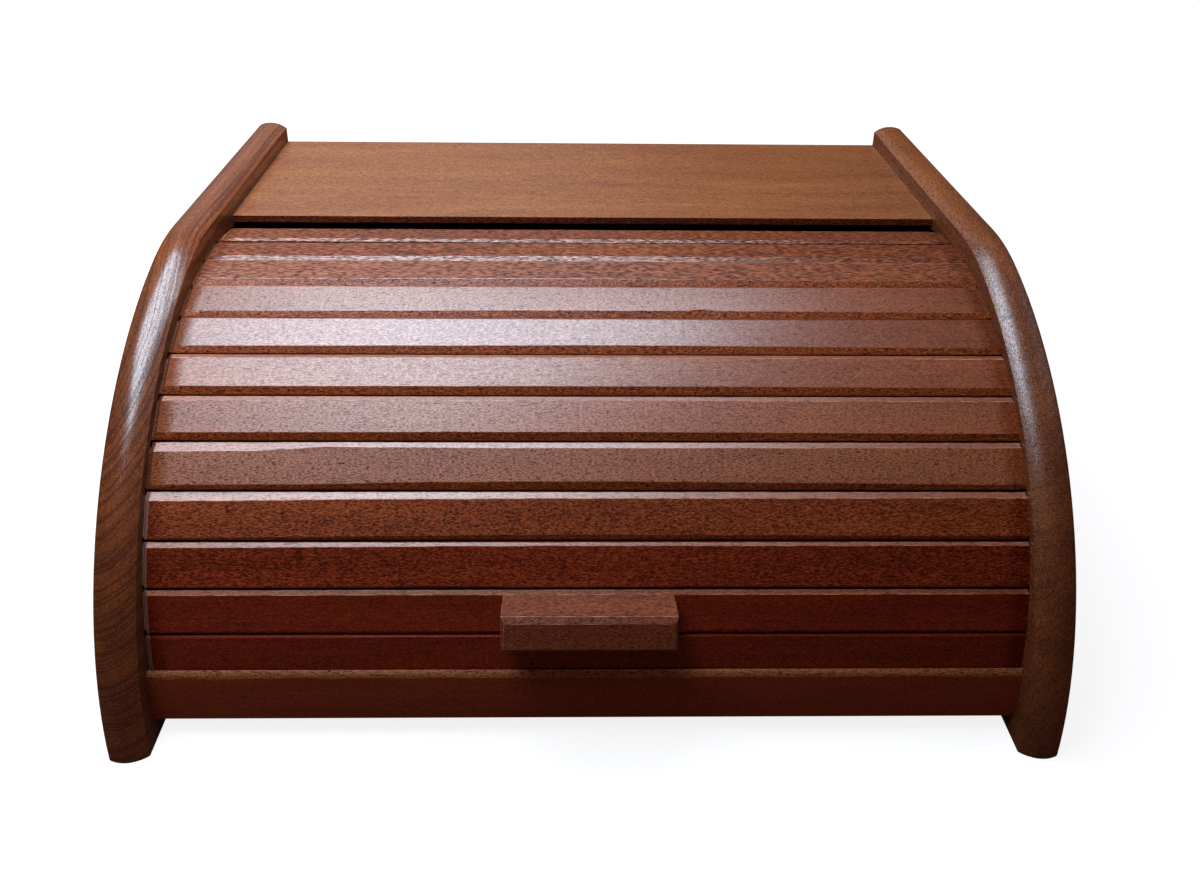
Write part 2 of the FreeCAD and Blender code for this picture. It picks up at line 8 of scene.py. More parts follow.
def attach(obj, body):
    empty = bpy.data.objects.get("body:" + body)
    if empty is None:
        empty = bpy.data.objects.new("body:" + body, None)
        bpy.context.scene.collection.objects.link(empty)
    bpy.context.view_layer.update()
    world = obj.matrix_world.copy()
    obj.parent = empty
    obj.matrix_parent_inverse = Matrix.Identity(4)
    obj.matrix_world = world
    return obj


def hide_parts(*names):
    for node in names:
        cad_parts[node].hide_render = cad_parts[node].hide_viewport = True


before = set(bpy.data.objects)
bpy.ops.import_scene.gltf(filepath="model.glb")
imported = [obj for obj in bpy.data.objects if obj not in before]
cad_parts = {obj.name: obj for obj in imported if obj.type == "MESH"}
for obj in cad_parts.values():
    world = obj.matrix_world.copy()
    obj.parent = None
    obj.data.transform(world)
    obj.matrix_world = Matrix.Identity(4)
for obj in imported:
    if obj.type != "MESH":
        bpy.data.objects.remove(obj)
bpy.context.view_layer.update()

# ---------------------------------------------------------------- camera
# A person at a worktop looks down at the front of the box from close by, a little to the left.
# The picture is framed lower than the middle of the lens, so the box sits low in it.
looking_down = math.radians(24.60)
turned = math.radians(-1.163)
tilted = math.radians(0.767)
camera_data = bpy.data.cameras.new("camera")
camera_data.sensor_width = 36
camera_data.lens = 30.42
camera_data.shift_x = 0.0144
camera_data.shift_y = -0.1663
camera = bpy.data.objects.new("camera", camera_data)
camera.matrix_world = (
    Matrix.Translation((-0.01038, -0.42576, 0.35859))
    @ Matrix.Rotation(turned, 4, "Z")
    @ Matrix.Rotation(math.pi / 2 - looking_down, 4, "X")
    @ Matrix.Rotation(tilted, 4, "Z")
)
bpy.context.scene.collection.objects.link(camera)
bpy.context.scene.camera = camera
bpy.context.scene.view_settings.view_transform = "Standard"


# ---------------------------------------------------------------- studio
# The box stands on a plain pale floor under a wide soft lamp, which hangs over its left half, and a long
# one above it. The floor and the room are white to the eye and dim in their own light.
class Signal:
    """A socket of a material. Sums, products and the like of signals and numbers add Math nodes."""

    def __init__(self, tree, socket=None):
        self.tree = tree
        self.socket = socket

    def node(self, kind, settings=None, inputs=None, output=0):
        """Adds a node: its settings first, then a number, a colour or a signal for each input."""
        made = self.tree.nodes.new(kind)
        for name, value in (settings or {}).items():
            if name == "stops":
                while len(made.color_ramp.elements) < len(value):
                    made.color_ramp.elements.new(0.5)
                for stop, (place, colour) in zip(made.color_ramp.elements, value):
                    stop.position = place
                    stop.color = (*colour, 1)
            else:
                setattr(made, name, value)
        for name, value in (inputs or {}).items():
            if isinstance(value, Signal):
                self.tree.links.new(value.socket, made.inputs[name])
            else:
                made.inputs[name].default_value = value
        return Signal(self.tree, made.outputs[output])

    def maths(self, operation, first, second=0.0, clamped=False):
        settings = {"operation": operation, "use_clamp": clamped}
        return self.node("ShaderNodeMath", settings, {0: first, 1: second})

    def __add__(self, other):
        return self.maths("ADD", self, other)

    __radd__ = __add__

    def __sub__(self, other):
        return self.maths("SUBTRACT", self, other)

    def __rsub__(self, other):
        return self.maths("SUBTRACT", other, self)

    def __mul__(self, other):
        return self.maths("MULTIPLY", self, other)

    __rmul__ = __mul__

    def __truediv__(self, other):
        return self.maths("DIVIDE", self, other)

    def clamped(self):
        return self.maths("ADD", self, 0.0, clamped=True)

    def between(self, low, high):
        """0 below low, 1 above high and a soft step from one to the other."""
        return self.node(
            "ShaderNodeMapRange",
            {"interpolation_type": "SMOOTHSTEP"},
            {"Value": self, "From Min": low, "From Max": high},
        )

    def blend(self, first, second):
        """A colour that goes from first to second as this signal goes from 0 to 1."""
        return self.node("ShaderNodeMix", {"data_type": "RGBA"}, {0: self, 6: first, 7: second}, 2)


def colour(red, green, blue):
    """A colour given in the 0 to 255 of a paint card, as light."""
    return (*(((c / 255 + 0.055) / 1.055) ** 2.4 if c > 10 else c / 3295 for c in (red, green, blue)), 1)


def new_material(name):
    """A material with its Principled shader, and a signal to start its sums from."""
    material = bpy.data.materials.new(name)
    material.use_nodes = True
    shader = material.node_tree.nodes["Principled BSDF"]
    return material, shader, Signal(material.node_tree)


seen_in_gloss = 0.012


def seen_white(start):
    """1 for the eye and through glass, and less in a gloss."""
    path = start.node("ShaderNodeLightPath")
    sockets = path.socket.node.outputs
    camera_ray = Signal(start.tree, sockets["Is Camera Ray"])
    glossy_ray = Signal(start.tree, sockets["Is Glossy Ray"])
    clear_ray = Signal(start.tree, sockets["Is Transmission Ray"])
    return (camera_ray + glossy_ray * seen_in_gloss + clear_ray).clamped()


floor_paint, floor_shader, start = new_material("floor_paint")
floor_shader.inputs["Roughness"].default_value = 0.9
floor_shader.inputs["Specular IOR Level"].default_value = 0.1
white_to_eye = seen_white(start)
shown = white_to_eye.blend((0.08, 0.025, 0.010, 1), (0.20, 0.20, 0.20, 1))
spot = start.node("ShaderNodeTexCoord", output=3)
away = spot.node("ShaderNodeVectorMath", {"operation": "LENGTH"}, {0: spot}, 1)
lift = away.between(0.3, 1.5).blend((0.86, 0.86, 0.86, 1), (0.99, 0.99, 0.99, 1))
lifted = white_to_eye.blend((0, 0, 0, 1), lift)
start.tree.links.new(shown.socket, floor_shader.inputs["Base Color"])
start.tree.links.new(lifted.socket, floor_shader.inputs["Emission Color"])
floor_shader.inputs["Emission Strength"].default_value = 1
floor_shape = bmesh.new()
bmesh.ops.create_grid(floor_shape, x_segments=1, y_segments=1, size=6)
floor_mesh = bpy.data.meshes.new("floor")
floor_shape.to_mesh(floor_mesh)
floor_shape.free()
floor_mesh.materials.append(floor_paint)
floor = bpy.data.objects.new("floor", floor_mesh)
bpy.context.scene.collection.objects.link(floor)

room = bpy.data.worlds.new("room")
room.use_nodes = True
bpy.context.scene.world = room
start = Signal(room.node_tree)
room_colour = seen_white(start).blend((0.09, 0.022, 0.008, 1), (1, 1, 1, 1))
room.node_tree.links.new(room_colour.socket, room.node_tree.nodes["Background"].inputs["Color"])
room.node_tree.nodes["Background"].inputs["Strength"].default_value = 1

daylight = (0.73, 0.855, 1.0)
for name, place, turned_over, size, brightness in (
    ("soft_lamp", (-0.28, 0.00, 0.860), (0, 0.66, -0.50), (0.85, 0.70), 9.8),
    ("long_lamp", (-0.31, -0.25, 1.086), (0, 0.25, 0), (0.31, 1.50), 2.4),
    ("back_card", (-0.50, 1.40, 0.75), (-1.40, 0, 0), (1.2, 0.9), 0.45),
    ("right_card", (0.80, -0.05, 0.75), (0, 0.9, 0), (0.4, 0.7), 0.6),
    ("fill_left", (-1.00, 0.85, 0.45), (1.30, 0, math.radians(-130)), (0.7, 0.7), 5.0),
    ("fill_right", (1.00, 0.85, 0.45), (1.30, 0, math.radians(130)), (0.7, 0.7), 5.0),
):
    lamp_data = bpy.data.lights.new(name, "AREA")
    lamp_data.shape = "RECTANGLE"
    lamp_data.size, lamp_data.size_y = size
    lamp_data.energy = brightness * math.pi * size[0] * size[1]
    lamp_data.color = daylight
    lamp = bpy.data.objects.new(name, lamp_data)
    lamp.location = place
    lamp.rotation_euler = turned_over
    lamp.visible_glossy = "fill" not in name
    bpy.context.scene.collection.objects.link(lamp)


# ---------------------------------------------------------------- sides
# Two 16 mm boards of beech, grain running to the back, sawn to the curve and rounded over on the
# outside of the edge. The curve shows end grain, which took more stain, and the straight top is painted
# lighter: partly for its long grain, and partly a painted highlight for the light it catches from above.
def grain(start, offset, turn=0.0, tilt=0.0):
    """Where a point lies in the plank, in millimetres, along the grain first, with a start of its own."""
    place = start.node("ShaderNodeTexCoord", output=3)
    return place.node(
        "ShaderNodeMapping",
        inputs={
            "Vector": place,
            "Location": offset,
            "Rotation": (tilt, 0, turn),
            "Scale": (1000, 1000, 1000),
        },
    )


def fleck(place, length, width, detail=2.0, roughness=0.5):
    """Noise whose grains are length along the wood and width across it, in millimetres."""
    drawn_out = place.node(
        "ShaderNodeVectorMath",
        {"operation": "MULTIPLY"},
        {0: place, 1: (1 / length, 1 / width, 1 / width)},
    )
    return place.node(
        "ShaderNodeTexNoise",
        inputs={"Vector": drawn_out, "Scale": 1.0, "Detail": detail, "Roughness": roughness},
    )


def stained_beech(
    name,
    offset,
    turn=0.0,
    tilt=0.0,
    tone=0.0,
    brown=1.0,
    figure=0.35,
    grit=1.0,
    fibre=1.2,
    rings=None,
    polish=0.42,
    lacquer=1.0,
    sheen=0.35,
    end_shade_beyond=None,
    long_grain_and_light=None,
):
    """Beech stained red brown under a thin satin lacquer.

    tone lightens it, brown takes the red out of it, figure is its broad streaks and grit its fine speckle,
    whose grains are fibre long.
    rings gives the spacing of the year rings, where their middle lies in x and z, and how clear they are.
    lacquer thins the coat, sheen is the shine of the wood under it, and past end_shade_beyond the coat is
    taken off and the wood painted darker: a painted shade for the shadow the sides throw on the slat ends.
    long_grain_and_light gives where, going back, a curved edge turns into long grain, and how much lighter
    that is painted: partly for the long grain and partly as painted light on the upward top.
    """
    material, shader, start = new_material(name)
    place = grain(start, offset, turn, tilt)
    broad = fleck(place, 150, 16, 3, 0.55)
    streaks = fleck(place, 40, 1.3, 3, 0.6)
    speckle = fleck(place, fibre, 0.38, 1, 0.5)
    pores = fleck(place, 2.6, 0.40, 2, 0.5).between(0.56, 0.66)
    depth = (
        0.5
        + tone
        + (broad - 0.5) * figure * 1.4
        + (streaks - 0.5) * figure * 1.2
        + (speckle - 0.5) * grit * 2.6
        - pores * 0.40 * grit
    )
    gloss = lacquer * (0.74 - pores * 0.5 * grit + (speckle - 0.5) * 2.4 * grit)
    height = (speckle - 0.5) * grit * 2.4 - pores * 0.8 + (streaks - 0.5) * 0.3
    # Painted shade: near the slat ends the coat is taken off and the stain darkened, for the shadow of the
    # sides.
    if end_shade_beyond:
        spot = start.node("ShaderNodeTexCoord", output=3)
        across = spot.node("ShaderNodeSeparateXYZ", inputs={"Vector": spot})
        to_side = across.maths("ABSOLUTE", across)
        end_shade = to_side.between(end_shade_beyond - 0.006, end_shade_beyond + 0.001)
        gloss = gloss * (1 - end_shade)
        depth = depth - end_shade * 0.2
    if rings:
        spacing, (middle_x, middle_z), clearness = rings
        spot = start.node("ShaderNodeTexCoord", output=3)
        from_middle = spot.node(
            "ShaderNodeVectorMath",
            {"operation": "MULTIPLY_ADD"},
            {0: spot, 1: (1000, 0, 1000), 2: (-middle_x, 0, -middle_z)},
        )
        radius = from_middle.node("ShaderNodeVectorMath", {"operation": "LENGTH"}, {0: from_middle}, 1)
        along = spot.node("ShaderNodeSeparateXYZ", inputs={"Vector": spot}, output=1)
        ring_place = radius.node(
            "ShaderNodeCombineXYZ",
            inputs={"X": (radius + (broad - 0.5) * 4.0) / spacing, "Y": along * 6.0, "Z": speckle * 0.25},
        )
        layers = ring_place.node(
            "ShaderNodeTexNoise",
            inputs={"Vector": ring_place, "Scale": 1.0, "Detail": 1.0, "Roughness": 0.5},
        ).between(0.42, 0.62)
        depth = depth - (layers - 0.4) * clearness
        gloss = gloss - layers * clearness
        height = height - layers * clearness * 2.0
    # Painted light in part: going back past the curve, the straight top is made lighter.
    if long_grain_and_light:
        turns, turned, lighter = long_grain_and_light
        spot = start.node("ShaderNodeTexCoord", output=3)
        along = spot.node("ShaderNodeSeparateXYZ", inputs={"Vector": spot}, output=1)
        depth = depth + along.between(turns, turned) * lighter
    stain = depth.node(
        "ShaderNodeValToRGB",
        {
            "stops": [
                (0.0, (0.040, 0.005 * brown, 0.001 * brown)),
                (0.5, (0.150, 0.031 * brown, 0.005 * brown)),
                (1.0, (0.300, 0.085 * brown, 0.017 * brown)),
            ]
        },
        {"Fac": depth.clamped()},
    )
    sag = fleck(place, 40, 9, 1, 0.4)
    bump = height.node(
        "ShaderNodeBump",
        inputs={"Height": height + sag * 6.0, "Strength": 1.0, "Distance": 0.00005},
    )
    tree = start.tree
    tree.links.new(stain.socket, shader.inputs["Base Color"])
    tree.links.new((0.66 + pores * 0.2).socket, shader.inputs["Roughness"])
    tree.links.new(gloss.clamped().socket, shader.inputs["Coat Weight"])
    tree.links.new(bump.socket, shader.inputs["Normal"])
    shader.inputs["Coat Roughness"].default_value = polish
    shader.inputs["Coat IOR"].default_value = 1.85
    shader.inputs["Specular Tint"].default_value = (1.0, 0.7, 0.5, 1)
    shader.inputs["Specular IOR Level"].default_value = sheen
    return material


def finished(name, shape, body, materials, stands_for=(), smooth=35):
    """Makes an object of a shape, rounds its shading below the angle smooth and rides it on a body."""
    bmesh.ops.recalc_face_normals(shape, faces=shape.faces)
    mesh = bpy.data.meshes.new(name)
    shape.to_mesh(mesh)
    shape.free()
    mesh.shade_smooth()
    mesh.set_sharp_from_angle(angle=math.radians(smooth))
    for material in materials:
        mesh.materials.append(material)
    made = bpy.data.objects.new(name, mesh)
    bpy.context.scene.collection.objects.link(made)
    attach(made, body)
    if stands_for:
        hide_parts(*stands_for)
    flatten = made.modifiers.new("flat_faces", "WEIGHTED_NORMAL")
    flatten.keep_sharp = True
    return made


def ease(shape, edges, radius, segments=2, worn=True):
    """Takes the sharpness off edges, and leaves them rubbed bare where worn is set."""
    eased = bmesh.ops.bevel(
        shape,
        geom=edges,
        offset=radius,
        offset_type="OFFSET",
        segments=segments,
        profile=0.5,
        affect="EDGES",
        material=-1,
        clamp_overlap=True,
    )
    for face in eased["faces"]:
        face.material_index = int(worn)


def merged_copy(node):
    """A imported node's shape with its loose triangles joined, and flat faces made whole."""
    shape = bmesh.new()
    shape.from_mesh(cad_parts[node].data)
    bmesh.ops.remove_doubles(shape, verts=shape.verts, dist=2e-6)
    bmesh.ops.dissolve_limit(
        shape, angle_limit=math.radians(0.6), verts=shape.verts, edges=shape.edges
    )
    return shape


def sharp(edge, angle=35):
    return len(edge.link_faces) == 2 and edge.calc_face_angle() > math.radians(angle)


side_back = 0.1461
side_top = 0.165
crown_depth = 0.006
front_radius = 0.1725
front_centre = Vector((0.0298, -0.003))
rebate_edge = 0.1815
arris_radius = 0.0007


def on_rim(vert):
    """True on the edge of a side's outline, away from its grooves."""
    y, z = vert.co.y, vert.co.z
    from_centre = (Vector((y, z)) - front_centre).length
    straight = z < 0.0002 or y > side_back - 0.0002 or z > side_top - 0.0003
    return straight or from_centre > front_radius - 0.0006


# Where the end grain of the curve gives way to the long grain of the straight top, going back.
grain_turns = -0.012
grain_turned = 0.070
side_looks = {
    "left": {"rings": (0.9, (-225, 150), 0.28), "tone": -0.25, "brown": 1.1, "polish": 0.22, "grit": 0.5},
    "right": {"rings": (1.5, (230, 0), 0.08), "tone": -0.16, "brown": 1.15, "polish": 0.34, "grit": 0.8},
}
# How much lighter each straight top is painted: partly long grain, and partly painted light for the light it
# catches from above.
straight_top_painted_light = {"left": 0.12, "right": 0.31}
for hand, word in ((-1, "left"), (1, "right")):
    node = f"side_panel_{word}"
    shape = merged_copy(node)
    arrises = [
        edge
        for edge in shape.edges
        if sharp(edge, 40)
        and all(on_rim(vert) for vert in edge.verts)
        and not all(vert.co.y > side_back - 0.0004 and abs(vert.co.x) < rebate_edge for vert in edge.verts)
    ]
    ease(shape, arrises, arris_radius, segments=3, worn=False)
    straight_top_light = (grain_turns, grain_turned, straight_top_painted_light[word])
    wood, crown = (
        stained_beech(
            f"side_{part}_beech_{word}",
            offset=(hand * 37.0, 11.0, 5.0),
            turn=math.pi / 2,
            figure=0.5,
            lacquer=0.9,
            long_grain_and_light=long_grain_and_light,
            **side_looks[word],
        )
        for part, long_grain_and_light in (("face", None), ("crown", straight_top_light))
    )
    for face in shape.faces:
        middle = face.calc_center_median()
        from_centre = (Vector((middle.y, middle.z)) - front_centre).length
        outside = middle.z > side_top - crown_depth or from_centre > front_radius - crown_depth
        if outside and abs(face.normal.x) < 0.9 and face.normal.y < 0.01 and face.normal.z > -0.01:
            face.material_index = 1
    finished(f"side_{word}", shape, "case", [wood, crown], [node])

# ---------------------------------------------------------------- boards
# The top board is a thin flat-sawn board with its grain from side to side, let into the sides. The
# bottom board and the back panel are plain boards in the same stain, a little darker and redder.
for node, offset, tone, figure, brown in (
    ("top_board", (12.0, 40.0, 3.0), 0.12, 0.42, 1.2),
    ("bottom_board", (90.0, 7.0, 31.0), 0.0, 0.5, 1.0),
    ("back_panel", (5.0, 77.0, 18.0), 0.0, 0.5, 1.0),
):
    shape = merged_copy(node)
    wood = stained_beech(f"{node}_beech", offset=offset, tone=tone, figure=figure, brown=brown, grit=0.5)
    # Painted shade: the front faces of the boards get a darker, duller stain for the little light that
    # reaches them.
    front_edge_painted_shade = stained_beech(
        f"{node}_edge_shade_beech", offset=offset, tone=tone - 0.4, brown=0.7, lacquer=0.5, sheen=0.2
    )
    for face in shape.faces:
        face.material_index = int(face.normal.y < -0.9)
    slot = "case_wood" if node == "top_board" else "board_wood"
    finished(node + "_finish", shape, "case", [wood, front_edge_painted_shade], [node])

# ---------------------------------------------------------------- front rail
# A strip of the same wood closes the box below the roll, and its lip covers the foot of the roll. The
# lip was bevelled by hand, which left it a little uneven, and its bevel is painted paler: a painted highlight
# for the light it catches.
rail_front = -0.1333
rail_bevel_foot = 0.0317
rail_half = 0.1735
knife_wander = 0.0008
knife_low = 0.0002


def on_bevel_foot(vert):
    """True on the line where the bevel of the rail meets its front."""
    return abs(vert.co.y - rail_front) < 0.00002 and abs(vert.co.z - rail_bevel_foot) < 0.0002


shape = merged_copy("front_rail")
bevel_line = [edge for edge in shape.edges if all(on_bevel_foot(vert) for vert in edge.verts)]
bmesh.ops.subdivide_edges(shape, edges=bevel_line, cuts=140)
for vert in shape.verts:
    if on_bevel_foot(vert) and abs(vert.co.x) < rail_half:
        vert.co.z += noise.noise(Vector((vert.co.x * 110, 3.7, 0))) * knife_wander - knife_low
rail_wood = stained_beech(
    "rail_beech", (55.0, 3.0, 9.0), tone=0.07, brown=0.6, grit=0.4, polish=0.34, lacquer=0.7, sheen=0.15
)
# Painted light: the rail's bevel gets a paler stain for the highlight it catches.
rail_bevel_painted_light = stained_beech(
    "rail_bevel_light_beech", (2.0, 6.0, 4.0), tilt=0.8, tone=0.26, brown=1.1, figure=0.9, polish=0.5, lacquer=1.35
)
for face in shape.faces:
    if face.normal.z > 0.5 and face.normal.y < -0.5:
        face.material_index = 1
finished("front_rail_finish", shape, "case", [rail_wood, rail_bevel_painted_light], ["front_rail"])

# ---------------------------------------------------------------- roll
# Slats of beech run in the grooves of the sides on thin tongues. Each was bevelled along its edges
# before staining, and no two bevels are quite alike. The arrises have been rubbed bare in places.
roll_axis = Vector((0, 0.0053, 0.0196))
roll_radius = 0.1365
slat_count = 12
slat_turn = math.radians(7.908)
closed_turn = math.radians(4.59)
slat_half = 0.00885
slat_end = 0.1735
slat_back = 0.1295
tongue_top = 0.1345
tongue_back = 0.1305
tongue_half = 0.00785
tongue_length = 0.007
bevel_slope = 0.577
bevel_deepest = 0.0026
bevel_shallowest = 0.00015
end_bevel = 0.0016
end_step = 0.0012
corner_radius = 0.006
slat_arris = 0.00018

# Which of a slat's materials a face has, besides 1, the rubbed arrises that ease leaves.
wood_face, lit_upper_bevel_face, left_end_face, shaded_bevel_face = 0, 2, 3, 4

# How much higher than even spacing the joint below a slat lies, in metres.
joint_lifts = {5: 0.0006, 6: 0.0009, 7: 0.0009, 8: 0.0004}

# For each slat from the top: widths of its upper and lower bevel at places from left to right, in mm.
slat_bevels = (
    ([(-170, 2.4), (0, 2.4), (170, 2.6)], [(-170, 1.6), (0, 2.0), (170, 1.6)]),
    ([(-170, 3.0), (0, 2.3), (170, 2.4)], [(-170, 2.2), (0, 3.0), (170, 2.4)]),
    ([(-170, 0.8), (0, 0.7), (170, 0.9)], [(-170, 3.6), (0, 4.2), (170, 2.9)]),
    (
        [(-170, 0.7), (0, 0.7), (170, 0.9)],
        [(-170, 2.5), (0, 3.3), (44, 3.2), (48, 4.3), (52, 4.0), (56, 3.1), (170, 2.5)],
    ),
    ([(-170, 0.8), (0, 0.8), (170, 1.0)], [(-170, 2.7), (0, 3.2), (170, 2.4)]),
    ([(-170, 1.8), (0, 1.7), (170, 1.8)], [(-170, 2.9), (0, 3.1), (170, 2.7)]),
    ([(-170, 2.1), (0, 2.0), (170, 2.0)], [(-170, 2.7), (0, 3.0), (170, 2.5)]),
    (
        [(-170, 3.8), (-135, 3.5), (-118, 2.6), (-103, 1.8), (-80, 2.0), (-30, 2.3), (60, 2.2), (170, 2.0)],
        [(-170, 1.8), (-120, 1.8), (-60, 2.8), (0, 3.1), (90, 2.5), (170, 1.8)],
    ),
    ([(-170, 3.3), (-60, 2.5), (0, 2.3), (170, 2.2)], [(-170, 0.9), (0, 1.9), (170, 1.4)]),
    ([(-170, 1.8), (0, 1.1), (170, 1.1)], [(-170, 0.6), (0, 0.9), (170, 0.6)]),
    ([(-170, 1.6), (0, 1.5), (170, 1.5)], [(-170, 1.0), (0, 1.1), (170, 1.0)]),
    ([(-170, 0.9), (-110, 0.8), (-60, 0.4), (170, 0.4)], [(-170, 1.5), (170, 1.5)]),
)


def width_at(places, x):
    """The width of a bevel at x, which goes softly from each given place to the next."""
    for (x0, w0), (x1, w1) in zip(places, places[1:]):
        if x <= x1 / 1000:
            share = min(1.0, max(0.0, (x * 1000 - x0) / (x1 - x0)))
            share = share * share * (3 - 2 * share)
            return (w0 + (w1 - w0) * share) / 1000
    return places[-1][1] / 1000


def slat_angle(number):
    """How far the middle of a slat stands above the front of the closed roll's circle."""
    return closed_turn + (slat_count - number + 0.5) * slat_turn


def end_faces(shape, hand):
    """The faces of a slat's end on the left, -1, or the right, 1."""
    return [
        face for face in shape.faces if all(abs(vert.co.x - hand * slat_end) < 5e-6 for vert in face.verts)
    ]


def new_slat(number):
    """A slat's section drawn out along it in steps, so that its bevels can vary from step to step."""
    upper, lower = slat_bevels[number - 1]
    top = slat_half + joint_lifts.get(number - 1, 0)
    foot = -slat_half + joint_lifts.get(number, 0)
    shape = bmesh.new()
    steps = [x / 1000 for x in range(-166, 167, 4)]
    steps = [-slat_end, -slat_end + end_step, -slat_end + end_bevel] + steps
    steps += [slat_end - end_bevel, slat_end - end_step, slat_end]
    if number == 1:
        arc = [corner_radius * (1 - math.cos(math.radians(a))) for a in (12, 25, 38, 51, 64, 77, 90)]
        steps = [-slat_end + a for a in [0.0] + arc[:-1]] + [x / 1000 for x in range(-166, 167, 4)]
        steps += [slat_end - a for a in reversed([0.0] + arc[:-1])]
    section = [
        (slat_back, foot),
        (slat_back, top),
        (roll_radius - 0.001, top),
        (roll_radius, top - 0.004),
        (roll_radius, foot + 0.003),
        (roll_radius - 0.001, foot),
    ]
    corners = [shape.verts.new((steps[0], -radius, across)) for radius, across in section]
    outline = [shape.edges.new(pair) for pair in zip(corners, corners[1:] + corners[:1])]
    for before, after in zip(steps, steps[1:]):
        grown = bmesh.ops.extrude_edge_only(shape, edges=outline)["geom"]
        moved = {item for item in grown if isinstance(item, bmesh.types.BMVert)}
        outline = [
            item for item in grown if isinstance(item, bmesh.types.BMEdge) and set(item.verts) <= moved
        ]
        bmesh.ops.translate(shape, verts=list(moved), vec=(after - before, 0, 0))
    bmesh.ops.holes_fill(shape, edges=[edge for edge in shape.edges if edge.is_boundary], sides=0)
    for vert in shape.verts:
        x, radius, across = vert.co.x, -vert.co.y, vert.co.z
        above = across > 0
        wander = noise.noise(Vector((x * 45, number * 7.3, above * 3.1))) * 0.00010
        width = max(0.0003, width_at(upper if above else lower, x) + wander)
        edge = top if above else -foot
        if number == 1 and above:
            into_corner = abs(x) - (slat_end - corner_radius)
            if into_corner > 0:
                edge -= corner_radius - math.sqrt(max(0.0, corner_radius**2 - into_corner**2))
        if radius > roll_radius - 0.0005:
            across = edge - width if above else -edge + width
        elif radius > roll_radius - 0.002:
            radius = roll_radius - width * bevel_slope
            across = edge if above else -edge
        else:
            across = edge if above else -edge
        from_left = slat_end + x
        radius = min(radius, roll_radius - max(0.0, end_bevel - from_left))
        vert.co = (x, -radius, across)
    for hand in (-1, 1):
        tongue_upper = slat_half - corner_radius if number == 1 else tongue_half
        for point, normal in (
            ((0, 0, tongue_upper), (0, 0, 1)),
            ((0, 0, -tongue_half), (0, 0, 1)),
            ((0, -tongue_back, 0), (0, 1, 0)),
        ):
            ends = end_faces(shape, hand)
            edges = dict.fromkeys(edge for face in ends for edge in face.edges)
            verts = dict.fromkeys(vert for face in ends for vert in face.verts)
            bmesh.ops.bisect_plane(
                shape, geom=[*ends, *edges, *verts], dist=1e-7, plane_co=point, plane_no=normal
            )
        middle = Vector((hand * slat_end, -(tongue_top + tongue_back) / 2, 0))
        tongue = min(end_faces(shape, hand), key=lambda face: (face.calc_center_median() - middle).length)
        grown = bmesh.ops.extrude_face_region(shape, geom=[tongue])["geom"]
        tip = [item for item in grown if isinstance(item, bmesh.types.BMVert)]
        bmesh.ops.translate(shape, verts=tip, vec=(hand * tongue_length, 0, 0))
        bmesh.ops.delete(shape, geom=[tongue], context="FACES_ONLY")
    fronts = [
        edge
        for edge in shape.edges
        if sharp(edge, 12)
        and all(-vert.co.y > tongue_top - 0.00005 for vert in edge.verts)
        and any(abs(vert.co.x) < slat_end - 0.00005 for vert in edge.verts)
    ]
    lower_edges = [edge for edge in fronts if all(vert.co.z < 0 for vert in edge.verts)]
    upper_edges = [edge for edge in fronts if edge not in lower_edges]
    ease(shape, upper_edges, slat_arris, worn=number < slat_count)
    ease(shape, [edge for edge in lower_edges if edge.is_valid], slat_arris, worn=False)
    for face in shape.faces:
        middle = face.calc_center_median()
        depths = [roll_radius + vert.co.y for vert in face.verts]
        in_front = max(depths) < bevel_deepest
        on_bevel = in_front and max(depths) - min(depths) > bevel_shallowest
        if in_front and middle.x < 0.0003 - slat_end + end_bevel:
            face.material_index = left_end_face
        # Painted light: the upper bevels of slats 6 to 11 get a paler stain for the light they catch.
        elif on_bevel and face.material_index == wood_face and 5 < number < slat_count and middle.z > 0.003:
            face.material_index = lit_upper_bevel_face
        # Painted shade: the lower bevels, which face down, get a redder stain with little lacquer.
        elif on_bevel and face.material_index == wood_face and number > 2 and middle.z < -0.003:
            face.material_index = shaded_bevel_face
    bmesh.ops.transform(
        shape,
        matrix=Matrix.Translation(roll_axis) @ Matrix.Rotation(-slat_angle(number), 4, "X"),
        verts=shape.verts,
    )
    return shape


def worn_beech():
    """Where hands and the roll have rubbed the arrises, the bare wood shows through here and there."""
    material, shader, start = new_material("worn_beech")
    place = grain(start, (0.0, 0.0, 0.0))
    rubbed = fleck(place, 7, 7, 3, 0.7).between(0.40, 0.62)
    bare = rubbed.blend((0.17, 0.035, 0.008, 1), (0.42, 0.20, 0.11, 1))
    start.tree.links.new(bare.socket, shader.inputs["Base Color"])
    shader.inputs["Roughness"].default_value = 0.5
    return material


# How light each slat came out of the stain, how brown rather than red, how thick and how rough its
# lacquer is, and how strong its speckle, from the top.
# The lower slats are made darker and redder, partly as painted shade: the deeper colour their shade shows.
slat_stains_and_shade = (
    (-0.18, 0.9, 0.55, 0.36, 2.0),
    (-0.12, 0.9, 0.65, 0.36, 1.4),
    (-0.06, 0.9, 1.0, 0.36, 1.3),
    (-0.04, 0.9, 1.25, 0.34, 0.7),
    (-0.06, 0.9, 1.08, 0.34, 0.5),
    (0.08, 0.9, 0.94, 0.38, 0.5),
    (0.12, 0.9, 1.15, 0.42, 0.7),
    (0.08, 1.0, 1.1, 0.46, 0.9),
    (0.0, 0.75, 0.5, 0.38, 0.9),
    (-0.10, 0.5, 0.4, 0.34, 0.9),
    (-0.10, 0.4, 0.5, 0.30, 0.5),
    (-0.07, 0.4, 0.5, 0.30, 0.5),
)
worn = worn_beech()
